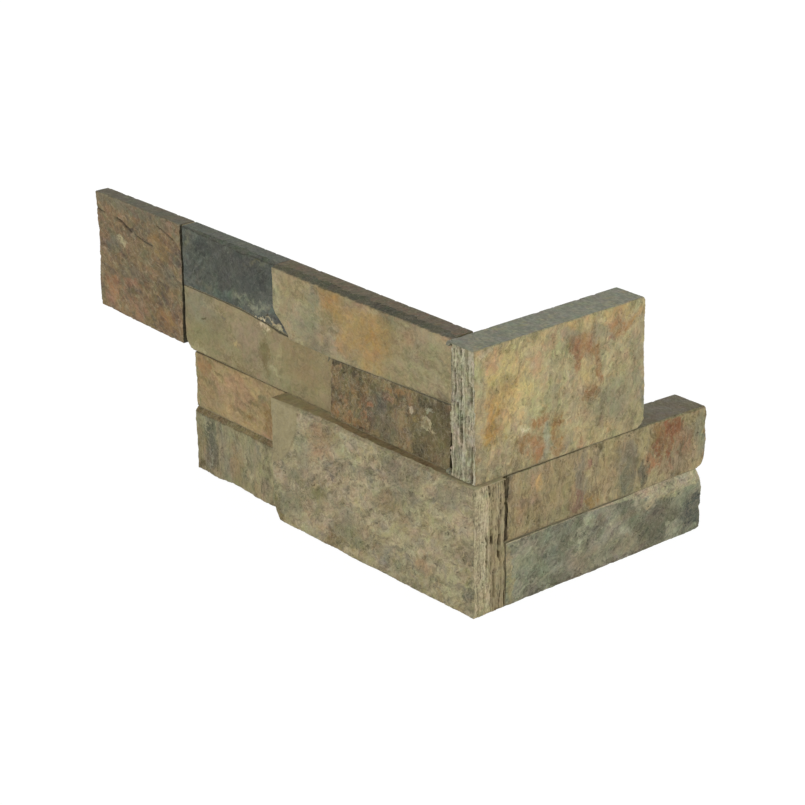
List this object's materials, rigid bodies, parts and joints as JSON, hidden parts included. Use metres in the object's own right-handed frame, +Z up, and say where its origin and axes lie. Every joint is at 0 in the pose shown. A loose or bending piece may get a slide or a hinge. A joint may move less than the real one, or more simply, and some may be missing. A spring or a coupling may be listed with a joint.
{
  "type": "stacked stone corner panel",
  "caption": "Outside corner panel of stacked slate pieces glued edge to edge, with a long leg, a short leg and staggered ends, for facing a wall.",
  "frame": {"origin": "lower end of the inner corner line, where the sawn backs of the two legs meet at the lower edge", "axes": "+Z up, the long leg runs along -X with its sawn back facing +Y, the short leg runs along +Y with its sawn back facing -X"},
  "size_m": [0.3609, 0.1782, 0.15],
  "materials": {
    "far_end_slate": "split, matt, taupe brown",
    "dark_slate": "split, matt, dark blue grey",
    "tan_slate": "split, matt, tan with orange stains",
    "olive_slate": "split, matt, olive",
    "brown_slate": "split, matt, dark brown mottled",
    "orange_slate": "split, matt, orange brown",
    "green_slate": "split, matt, grey green",
    "big_stone_slate": "split, matt, grey tan granular",
    "corner_slate": "split, matt, yellow tan with rust stains",
    "rust_slate": "split, matt, brown with rust streaks",
    "grey_slate": "split, matt, grey green",
    "adhesive": "matt, dark"
  },
  "bodies": {
    "root": {"far_end_stone": "far_end_slate", "slate_stone": "dark_slate", "tan_stone": "tan_slate", "olive_strip": "olive_slate", "brown_stone": "brown_slate", "orange_strip": "orange_slate", "green_strip": "green_slate", "big_corner_stone": "big_stone_slate", "upper_corner_stone": "corner_slate", "rust_strip": "rust_slate", "grey_strip": "grey_slate", "bed_adhesive": "adhesive", "end_adhesive": "adhesive"}
  },
  "joints": []
}
